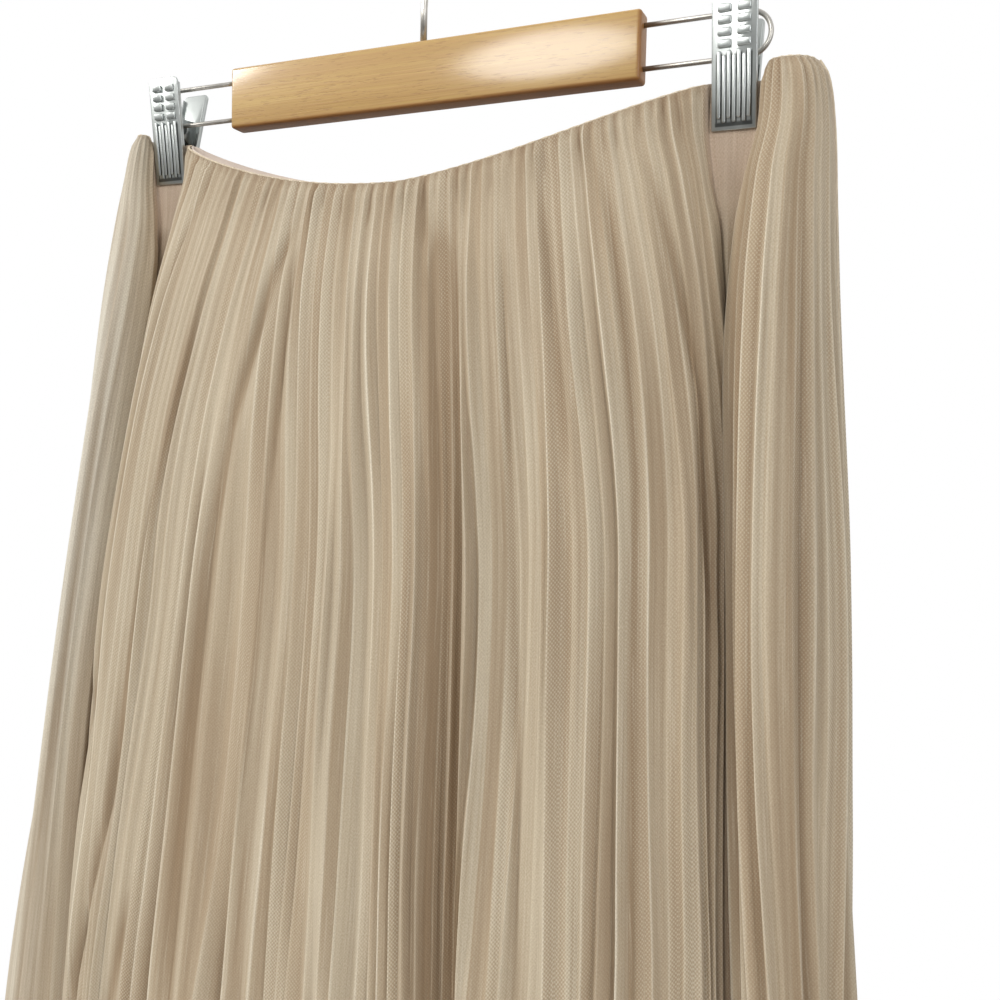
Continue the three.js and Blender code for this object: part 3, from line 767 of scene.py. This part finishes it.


# The creases that show most: a path of (drop, place), then half-width as a place and
# depth in millimetres (a ridge is negative).
CREASES = {
    "front": (
        (((60, 0.105), (110, 0.13), (210, 0.155), (350, 0.178), (941, 0.2)), 0.034, 5.0),
        (((60, 0.165), (110, 0.185), (210, 0.213), (350, 0.232), (941, 0.255)), 0.012, -3.0),
        (((15, 0.05), (45, 0.062), (90, 0.085)), 0.012, 2.4),
        (((50, -0.2), (93, -0.25), (165, -0.3), (212, -0.31), (520, -0.33)), 0.013, 3.0),
        (((60, -0.2), (100, -0.205), (208, -0.2), (520, -0.19)), 0.008, 2.2),
        (((38, -0.49), (80, -0.53), (122, -0.56), (230, -0.6)), 0.012, 2.6),
        (((90, -0.42), (200, -0.47), (400, -0.52)), 0.012, 2.4),
        (((230, -0.57), (330, -0.62), (430, -0.66)), 0.011, 3.2),
        (((290, -0.47), (420, -0.55), (560, -0.63)), 0.010, 3.2),
        (((380, -0.43), (600, -0.53), (800, -0.58)), 0.011, 2.8),
        (((36, 0.42), (75, 0.455), (130, 0.485), (185, 0.505), (480, 0.51)), 0.010, 2.4),
        (((40, 0.52), (62, 0.54), (120, 0.588), (150, 0.615), (260, 0.645)), 0.010, 2.6),
        (((40, 0.31), (112, 0.348), (185, 0.4), (420, 0.42)), 0.009, 2.0),
        (((60, 0.37), (102, 0.385), (250, 0.412), (520, 0.42)), 0.010, -1.8),
        (((70, 0.52), (102, 0.535), (180, 0.58), (300, 0.6)), 0.010, -1.8),
        (((60, 0.24), (150, 0.27), (300, 0.31), (600, 0.33)), 0.010, 1.8),
        (((25, 0.8), (300, 0.8), (700, 0.79)), 0.010, 1.6),
        (((20, 0.9), (300, 0.9), (800, 0.9)), 0.012, 1.8),
        (((30, -0.85), (300, -0.85), (800, -0.86)), 0.012, 1.6),
    ),
    "back": (
        (((80, -0.5), (250, -0.56), (620, -0.58)), 0.012, 2.8),
        (((120, -0.22), (300, -0.25), (780, -0.27)), 0.013, 2.4),
        (((60, -0.02), (300, 0.0), (941, 0.01)), 0.032, 4.4),
        (((60, 0.12), (480, 0.15)), 0.012, 2.6),
        (((100, 0.42), (300, 0.48), (640, 0.5)), 0.011, 2.8),
        (((40, 0.86), (600, 0.86)), 0.014, 2.0),
    ),
}


def creases(face, place, drop):
    """The same creases in millimetres outward. Each fades in and out along its path."""
    total = np.zeros_like(place)
    for path, width, depth in CREASES[face]:
        drops, places = zip(*path)
        start, end = drops[0], drops[-1] + (200 if drops[-1] == HEM else 0)
        fade = ease((drop - start) / min(50, (end - start) / 3))
        fade = fade * ease((end - drop) / (end - start) * 4)
        off = (place - np.interp(drop, drops, places)) / width
        total -= depth * fade * np.exp(-off ** 2)
    return total


# %% [markdown]
# ## The net panels
# A grid operator makes each panel flat, one column for every third of a half pleat.
# Its vertices are then moved on to the form: out by the pleat, the waves and the
# creases. Its UV map is in metres of cloth, measured from the nearest crest, so the
# weave keeps its size and runs along the pleats. Right under a clip the net beside
# the pinched strip laps over it. A thin Solidify gives each sheet two sides.

# %% A sheet from a grid
THICK = 0.0004


def sheet_from_grid(name, points, right_to_left):
    """A grid of quads moved to points[row, column], rows counted from the top."""
    rows, columns = points.shape[0] - 1, points.shape[1] - 1
    bm = bmesh.new()
    bmesh.ops.create_grid(bm, x_segments=columns, y_segments=rows, size=1)
    made = finish_mesh(bm, name)
    mesh = made.data
    flat = np.empty(len(mesh.vertices) * 3)
    mesh.vertices.foreach_get("co", flat)
    flat = flat.reshape(-1, 3)
    column = np.rint((flat[:, 0] + 1) / 2 * columns).astype(int)
    row = rows - np.rint((flat[:, 1] + 1) / 2 * rows).astype(int)
    if right_to_left:
        column = columns - column
    mesh.vertices.foreach_set("co", points[row, column].ravel())
    mesh.update()
    return made, row, column


def grid_uv(made, row, column, across, down, crest_of):
    """Writes the UV map: across and down are metres for [row, column]."""
    mesh = made.data
    loops = np.empty(len(mesh.loops), dtype=int)
    mesh.loops.foreach_get("vertex_index", loops)
    r, c = row[loops], column[loops]
    u = across[r, c]
    if crest_of is not None:
        crest = crest_of[np.repeat(c.reshape(-1, 4).min(axis=1), 4)]
        u = u - across[r, crest] + across[-1, crest]
    layer = mesh.uv_layers.new(name="cloth")
    layer.data.foreach_set("uv", np.stack([u, -down[r, c]], axis=1).ravel())


def in_frame(x, y, drop):
    """Points in metres in the frame, from a plan and its drops in millimetres."""
    return np.stack([x, y, -drop - BAR_DROP], axis=-1) / 1000


def outward(face, x, y, place):
    """Unit normals out of a panel, and tangents along it, for each row of its plan."""
    dx, dy = np.gradient(x, axis=1), np.gradient(y, axis=1)
    run = np.hypot(dx, dy)
    normal = np.stack([dy, -dx]) / (run if face == "front" else -run)
    for end in (0, -1):
        normal[:, :, end] = [np.sign(place[:, end]), 0 * place[:, end]]
    return normal, np.stack([dx, dy]) / run


def hang(name, face, solid, slot, points, down, marks=(), crest_of=None):
    """Makes a panel from its points, with its UV map, its marks and its thickness.

    A mark is one number for each vertex, for a material to read.
    """
    made, row, column = sheet_from_grid(name, points, right_to_left=face == "back")
    step = np.linalg.norm(np.diff(points[:, :, :2], axis=1), axis=2)
    across = np.concatenate([np.zeros((len(points), 1)), np.cumsum(step, axis=1)], axis=1)
    grid_uv(made, row, column, across, down / 1000, crest_of)
    for label, values in marks:
        kept = made.data.attributes.new(label, "FLOAT", "POINT")
        kept.data.foreach_set("value", values[row, column])
    shell = made.modifiers.new("thickness", "SOLIDIFY")
    shell.thickness, shell.offset = THICK, -1
    widths = across[:, -1]
    print(name, "is", round(widths[0], 3), "m across its waist edge and",
          round(widths[-1], 3), "m across its hem")
    return {"piece": stands_for(made, solid), "slot": slot,
            "points": points, "widths": widths, "trims": []}


# %% The net panels
# Where the clips end, as a drop, and how far the body and the side fold lap over the
# pinch just below them, in millimetres.
CLIP_FOOT = 58.5
LAPS = {"left": (5.5, 0.0), "right": (2.0, 3.4)}
# The net swells inwards by less than the lining's inset, and stays this much clear.
CLEAR = 0.9


def net_marks(field, place, drop, down, drawn, below):
    """What the net's finish reads: painted shade in the pleat valleys, hollows, gathers and side
    folds, a painted pale rim of light, painted highlights on the crests, the held strip, tone and
    open mesh.
    """
    free, beside = calm(place), from_pinch(place)
    under_clip = drop - CLIP_FOOT
    seen = np.maximum(free, 0.6 * below)
    in_right_fold = ease((place - BODY - PINCH) / 0.03)
    valley = np.clip(-field["height"], 0, 1.2) * free
    # Painted shade: the pleat valleys darkened for an uneven reach below the waist, a painted
    # shadow line just under the waist seam, and the top band a little darker.
    reach = 13 + 6 * np.sin(place * 97) + 4 * np.sin(place * 211)
    gather = (1.15 * valley * ease((reach - down) / 9) + 0.5 * ease((2.5 - down) / 1.5) * free
              + 0.15 * ease((36 - down) / 24) * free)
    # Painted shade in the deep folds beside each pinch below the clips, under the clip feet and in
    # the slit of the left pinched strip.
    fold = ease(1.2 - np.maximum(beside, 0) / 0.045) * ease((drop - 85) / 90)
    fold = np.maximum(fold, 0.15 * (1 - free) * ease((12 - under_clip) / 12))
    slit = ease((-place - BODY) / PINCH) * ease(1 - beside / 0.012) * ease(under_clip / 12)
    # Painted light: the outer side of the left lobe is painted pale, less so at the top and low
    # down.
    rim = ease((-0.75 - place) / 0.12) * mix(0.6, 1, ease((drop - 50) / 90))
    # Painted light and shade: the crease is a painted highlight where the net also lies double,
    # shade, hollow, gather and fold are painted shade, and the rim is painted light.
    return (
        ("crease", field["crease"] * seen),
        ("shade", field["shade"] * seen * (1 + 0.35 * in_right_fold)),
        ("tone", field["tone"]),
        ("held", (1 - free) * ease((95 - drop) / 45)),
        ("mesh", field["mesh"] * free * (1 - 0.75 * ease((-BODY - place) / 0.06))),
        ("hollow", np.clip(-drawn / 2.3, 0, 1)),
        ("gather", np.clip(gather, 0, 1)),
        ("rim", rim * (1 - 0.55 * ease((drop - 230) / 150))),
        ("fold", np.maximum(fold, 0.8 * np.where(place < 0, slit, 0))),
    )


def net_panel(face, seed):
    field = pleat_field(face, seed)
    place = field["place"]
    top = waist_drop(face, place)
    drop = mix(top, HEM, SHARES[:, None])
    down = drop - top
    x, y = plan(face, place, drop)
    normal, tangent = outward(face, x, y, place)
    free = calm(place)
    below = ease((drop - CLIP_FOOT) / 22)
    # Pleats are low at the waist edge, in the pinches and at the side seams.
    size = sized("pleat", drop) * 0.85 + 0.6 * ease(down / 4) * ease((26 - down) / 20)
    size *= (mix(0.5, 1, ease(down / 5)) * mix(mix(0.05, 0.45, below), 1, free)
             * seam_calm(place))
    height = field["height"] * size
    drawn = creases(face, place, drop) * free * ease((down - 4) / 30)
    swell = waves(place, down, seed + 5) * free * ease((down - 6) / 40) + drawn
    # The pleats beside a side fold crowd over it, and lap over it under the clips.
    beside = from_pinch(place)
    near = ease(beside / 0.012) * ease((0.05 - beside) / 0.03)
    crowd = near * (2.2 * below + 2.0 * ease((drop - 80) / 70))
    on_body = np.abs(place) < BODY
    lap = np.where(place < 0, np.where(on_body, *LAPS["left"]), np.where(on_body, *LAPS["right"]))
    lap = lap * near * below * ease((330 - drop) / 160) * np.sign(place) * np.where(on_body, 1, -1)
    tuck = -0.8 * (1 - ease(down / 6)) * mix(0.2, 1, free)
    out = height + swell + tuck + crowd
    room = CLEAR - sized("lining", drop)
    out = np.where(out < 0, room * np.tanh(out / room), out)
    side = field["lean"] * np.maximum(height, 0) * 1.1 + lap
    points = in_frame(*(at + n * out + t * side for at, n, t in zip((x, y), normal, tangent)), drop)
    columns = np.arange(HALF_PLEATS * STEPS) // STEPS
    return hang(
        "net_" + face, face, "skirt_" + face, "net_cloth", points, down,
        marks=net_marks(field, place, drop, down, drawn, below),
        crest_of=(columns + 1 - columns % 2) * STEPS,
    )


panels = {"skirt_" + face: net_panel(face, seed) for face, seed in (("front", 11), ("back", 29))}

# %% [markdown]
# ## The lining
# A plain woven lining hangs inside the net from the same waist edge and stops a
# hand's breadth above the hem. It has no pleats, only the large folds and a few
# soft swells, and these turn inwards, so that it stays clear of the net.

# %% The lining panels
LINING_ROWS, LINING_COLUMNS = 60, 220


def lining_panel(face, seed):
    rng = np.random.default_rng(seed)
    place = np.linspace(-1, 1, LINING_COLUMNS + 1)[None] + np.zeros((LINING_ROWS + 1, 1))
    shares = np.linspace(0, 1, LINING_ROWS + 1) ** 1.3
    top = waist_drop(face, place)
    drop = mix(top, LINING_HEM, shares[:, None])
    down = drop - top
    x, y = plan(face, place, drop, inside=1)
    normal = outward(face, x, y, place)[0]
    soft = np.zeros_like(place)
    for count, depth in ((7, 0.9), (12, 0.7), (19, 0.5)):
        soft += depth * (np.sin(place * count * math.pi + rng.uniform(0, 6.28) + down * 0.002) - 1)
    soft *= calm(place) * ease((down - 10) / 160)
    points = in_frame(x + normal[0] * soft, y + normal[1] * soft, drop)
    return hang("lining_" + face + "_cloth", face, "lining_" + face, "lining_cloth", points, down)


for face, seed in (("front", 3), ("back", 4)):
    panels["lining_" + face] = lining_panel(face, seed)

# %% [markdown]
# ## Edges and seams
# Net and lining are joined at the waist by a turned-in seam, which shows as a soft
# roll. The side seams and the hems are narrow. Each is a cord: a curve through the
# points of its edge with a round section, turned into a mesh.

# %% A cord along an edge
def cord(name, points, radii, sides=2):
    """A round cord through points in metres, with its own radius at each of them."""
    data = bpy.data.curves.new(name, "CURVE")
    data.dimensions = "3D"
    data.bevel_depth, data.bevel_resolution = 1.0, sides
    data.use_fill_caps = True
    line = data.splines.new("POLY")
    line.points.add(len(points) - 1)
    line.points.foreach_set("co", np.column_stack([points, np.ones(len(points))]).ravel())
    line.points.foreach_set("radius", np.broadcast_to(radii, len(points)).astype(float))
    curve = bpy.data.objects.new(name, data)
    mesh = bpy.data.meshes.new_from_object(curve)
    bpy.data.objects.remove(curve)
    bm = bmesh.new()
    bm.from_mesh(mesh)
    bpy.data.meshes.remove(mesh)
    return finish_mesh(bm, name)


def add_trim(solid, name, points, radii, sides=2):
    """A cord on the edge of a panel, of the panel's own cloth."""
    made = cord(name, points, radii, sides)
    panels[solid]["trims"].append(made)


def shared_edge(layer, side):
    """The points half way between the front's and the back's outermost columns."""
    front, back = (panels[layer + face]["points"][:, side] for face in ("front", "back"))
    return (front + back) / 2


for face in ("front", "back"):
    # The waist seam runs half way between the net and the lining.
    place = np.linspace(-1, 1, 300)
    drop = waist_drop(face, place) + 0.2
    edge = in_frame(*plan(face, place, drop, inside=0.5), drop)
    thick = mix(0.0003, 0.00052, calm(place)) * (1 + 0.2 * np.sin(place * 210))
    add_trim("skirt_" + face, "waist_seam_" + face, edge, thick)
    for layer, name, radius in (("skirt_", "net_hem_", 0.0005), ("lining_", "lining_hem_", 0.0006)):
        add_trim(layer + face, name + face, panels[layer + face]["points"][-1], radius, sides=1)
for side, word in ((0, "left"), (-1, "right")):
    add_trim("skirt_front", "side_seam_" + word, shared_edge("skirt_", side), 0.0007)
    add_trim("lining_front", "lining_seam_" + word, shared_edge("lining_", side), 0.0005)
print("trims:", {solid: len(panel["trims"]) for solid, panel in panels.items()})

# %% [markdown]
# ## Finishes
# Every finish is worked out from the piece's own places: metres of cloth from the
# UV map, or metres in the frame. One group of nodes makes stretched noise, the base
# of grain, crinkles and smudges, and one makes the cells of a weave. Each material
# uses them at its own sizes.

# %% Groups of nodes
def new_group(name, output, **inputs):
    n = Nodes(bpy.data.node_groups.new(name, "ShaderNodeTree"))
    for label, kind in inputs.items():
        n.tree.interface.new_socket(label, in_out="INPUT", socket_type="NodeSocket" + kind)
    n.tree.interface.new_socket(output, in_out="OUTPUT", socket_type="NodeSocketFloat")
    return n, n.add("NodeGroupInput").outputs, n.add("NodeGroupOutput").inputs[0]


n, given, result = new_group(
    "stretched_noise", "Mask", Vector="Vector", Sizes="Vector", Low="Float", High="Float")
scaled = n.feed("ShaderNodeVectorMath", given["Vector"], given["Sizes"], operation="DIVIDE")
cloud = n.add("ShaderNodeTexNoise", Vector=scaled, Scale=1.0, Detail=3.0, Roughness=0.55)
n.put(result, n.span(cloud.outputs[0], given["Low"], given["High"]))
noise_group = n.tree

n, given, result = new_group("net_cells", "Cells", Vector="Vector", Across="Float", Down="Float")
parts = n.add("ShaderNodeSeparateXYZ", Vector=given["Vector"]).outputs
waved = []
for i, size in ((0, "Across"), (1, "Down")):
    turn = n.calc("MULTIPLY", n.calc("DIVIDE", parts[i], given[size]), 2 * math.pi)
    waved.append(n.calc("COSINE", turn))
n.put(result, n.calc("MULTIPLY", *waved))
cells_group = n.tree


def noise(n, place, sizes, low, high):
    return n.feed("ShaderNodeGroup", place, sizes, low, high, node_tree=noise_group)


def cells(n, place, across, down):
    return n.feed("ShaderNodeGroup", place, across, down, node_tree=cells_group)


# %% The net
# The net's marks, each with its largest share and its tint, in the order of painting.
# The rim is painted light, the crease a painted highlight where the net also lies double,
# and shade, hollow, gather and fold are painted shade.
NET_TINTS = {
    "rim": (0.74, (243, 242, 231)), "crease": (0.95, (242, 234, 214)),
    "shade": (0.62, (140, 116, 89)), "hollow": (0.72, (142, 118, 90)),
    "gather": (0.75, (126, 101, 75)), "held": (0.85, (216, 196, 178)),
    "fold": (0.8, (104, 77, 56)),
}


def net_material(name, flat=False):
    """The net; a flat trim has one tone, and reads metres in the frame, not of cloth."""
    made, n, shader = new_material(
        name, Roughness=0.78, Sheen_Weight=0.4, Sheen_Roughness=0.35,
        Sheen_Tint=srgb((255, 246, 228)), Specular_IOR_Level=0.25)
    place = n.place("Object" if flat else "UV")
    streaks = noise(n, place, (0.0011, 0.07, 0.01), 0.32, 0.68)
    fine = noise(n, place, (0.0005, 0.0009, 0.01), 0.3, 0.7)
    clouds = noise(n, place, (0.03, 0.12, 0.1), 0.35, 0.65)
    if flat:
        body = n.colour(clouds, srgb((224, 210, 184)), srgb((234, 221, 198)))
        open_mesh = 0.3
    else:
        body = n.colour(n.mark("tone"), srgb((186, 168, 143)), srgb((211, 200, 178)))
        body = n.tinted(body, clouds, 0.4, (202, 187, 161), none_at=1, all_at=0)
        # The marks paint the held strip's colour, a pale rim of light, highlights on the crests and
        # shade in the valleys, hollows, gathers and folds.
        for mark, (most, tint) in NET_TINTS.items():
            body = n.tinted(body, n.mark(mark), most, tint)
        open_mesh = n.mark("mesh")
    body = n.tinted(body, streaks, 0.2, (150, 122, 92), none_at=0.5, all_at=0)
    body = n.tinted(body, streaks, 0.2, (240, 230, 210), none_at=0.7)
    body = n.tinted(body, fine, 0.34, (132, 108, 82), none_at=1, all_at=0)
    broken = n.calc("MULTIPLY", cells(n, place, 0.0015, 0.0018), n.span(fine, 0, 1, 0.3, 1.2))
    seen = n.calc("MULTIPLY", broken, n.span(open_mesh, 0, 1, 0.22, 1))
    body = n.tinted(body, seen, 0.5, (138, 114, 87))
    body = n.tinted(body, seen, 0.42, (238, 230, 210), all_at=-1)
    crinkles, grit, holes = (n.calc("MULTIPLY", mask, share)
                             for mask, share in ((streaks, 0.6), (fine, 0.5), (seen, 0.4)))
    height = n.calc("SUBTRACT", n.calc("ADD", crinkles, grit), holes)
    n.fill(shader, Base_Color=body, Normal=n.bump(height, 0.0004, 0.6))
    return made


# %% The lining
def lining_material(name, flat=False):
    made, n, shader = new_material(
        name, Roughness=0.55, Sheen_Weight=0.12, Specular_IOR_Level=0.4)
    place = n.place("Object" if flat else "UV")
    soft = noise(n, place, (0.04, 0.12, 0.1), 0.3, 0.7)
    slubs = noise(n, place, (0.0004, 0.012, 0.01), 0.3, 0.7)
    body = n.colour(soft, srgb((226, 210, 196)), srgb((238, 224, 212)))
    body = n.tinted(body, slubs, 0.12, (180, 155, 135), none_at=1, all_at=0)
    weave = n.calc("ADD", cells(n, place, 0.0007, 0.0007), slubs)
    n.fill(shader, Base_Color=body, Normal=n.bump(weave, 0.00008, 0.6))
    return made


# %% The wood
def beech_material():
    """Varnished beech, with painted shade on the cut end and along the underside, which are also
    duller.
    """
    made, n, shader = new_material("beech", Roughness=0.5, Coat_Roughness=0.15, Coat_IOR=1.55)
    place = n.place()
    bands = noise(n, place, (0.25, 0.006, 0.008), 0.32, 0.68)
    lines = noise(n, place, (0.06, 0.0012, 0.0011), 0.35, 0.65)
    flecks = noise(n, place, (0.006, 0.0007, 0.0006), 0.58, 0.66)
    body = n.colour(bands, srgb((192, 156, 84)), srgb((177, 139, 69)))
    body = n.tinted(body, lines, 0.35, (172, 122, 70))
    body = n.tinted(body, flecks, 0.35, (132, 84, 44))
    sides = n.add("ShaderNodeSeparateXYZ", Vector=place).outputs
    end = n.span(sides["X"], bar_high.x - 0.0022, bar_high.x - 0.0006)
    under = n.span(sides["Z"], bar_low.z + 0.002, bar_low.z + 0.0006)
    # Painted shade on the end face and the underside, where the coat is also thinner.
    shaded = n.calc("MAXIMUM", end, under)
    pores = n.calc("ADD", lines, n.calc("MULTIPLY", flecks, -0.6))
    n.fill(shader, Base_Color=n.tinted(body, shaded, 0.75, (138, 84, 40)),
           Coat_Weight=n.span(shaded, 0, 1, 0.85, 0.15), Normal=n.bump(pores, 0.00012, 0.35))
    return made


# %% The metals
def between_ribs(n):
    """A mask for painted shade on a lever: how deep a place lies, between its ribs or in the step
    at its foot.
    """
    aside, up = n.mark("across"), n.mark("up")
    turn = n.calc("MULTIPLY", aside, 2 * math.pi / (RIB_PITCH * 1000))
    groove = n.span(n.calc("COSINE", turn), -0.35, -0.8)
    over = n.calc("MULTIPLY", n.span(up, 2.4, 3.0), n.span(up, 30.8, 29.6))
    foot = n.calc("MULTIPLY", n.span(up, 1.3, 1.7), n.span(up, 3.6, 2.8))
    deep = n.calc("MAXIMUM", n.calc("MULTIPLY", groove, over), foot)
    return n.calc("MULTIPLY", deep, n.span(n.calc("ABSOLUTE", aside), 7.9, 7.4))


def metal_material(name, tint, roughness, wear, ribbed=False):
    made, n, shader = new_material(name, Metallic=1.0)
    smudge = noise(n, n.place(), (0.004, 0.004, 0.006), 0.35, 0.7)
    scratch = noise(n, n.place(), (0.0003, 0.0003, 0.005), 0.5, 0.8)
    body = n.tinted(srgb(tint), smudge, wear, [v * 0.7 for v in tint])
    if ribbed:
        # Painted shade in the grooves between the ribs and in the step at the foot.
        body = n.tinted(body, between_ribs(n), 0.8, (62, 64, 62))
    n.fill(shader, Base_Color=body, Normal=n.bump(scratch, 0.00002, 0.12),
           Roughness=n.span(smudge, 0, 1, roughness, roughness + 0.12))
    return made


def pieces_of(slot, kind):
    """The panels, or their trims, of one cloth."""
    mine = [panel for panel in panels.values() if panel["slot"] == slot]
    return [p["piece"] for p in mine] if kind == "piece" else [t for p in mine for t in p["trims"]]


finishes = (
    (net_material("pleated_net"), pieces_of("net_cloth", "piece")),
    (net_material("net_trim", flat=True), pieces_of("net_cloth", "trims")),
    (lining_material("lining"), pieces_of("lining_cloth", "piece")),
    (lining_material("lining_trim", flat=True), pieces_of("lining_cloth", "trims")),
    (beech_material(), [bar]),
    (metal_material("bright_chrome", (192, 197, 196), 0.32, 0.2, ribbed=True), levers),
    (metal_material("satin_wire", (205, 202, 196), 0.36, 0.5), [hook] + side_wires + springs),
)
for finish, pieces in finishes:
    for piece in pieces:
        piece.data.materials.clear()
        piece.data.materials.append(finish)
print(len(finishes), "finishes")

# %% [markdown]
# ## What each sheet is cut from
# The panels widen from waist to hem. A net panel is as wide at its hem as the cloth
# that its pleats take up there, and each sheet's area is that of its tapered cut.


for solid, panel in panels.items():
    layer, face = solid.split("_")
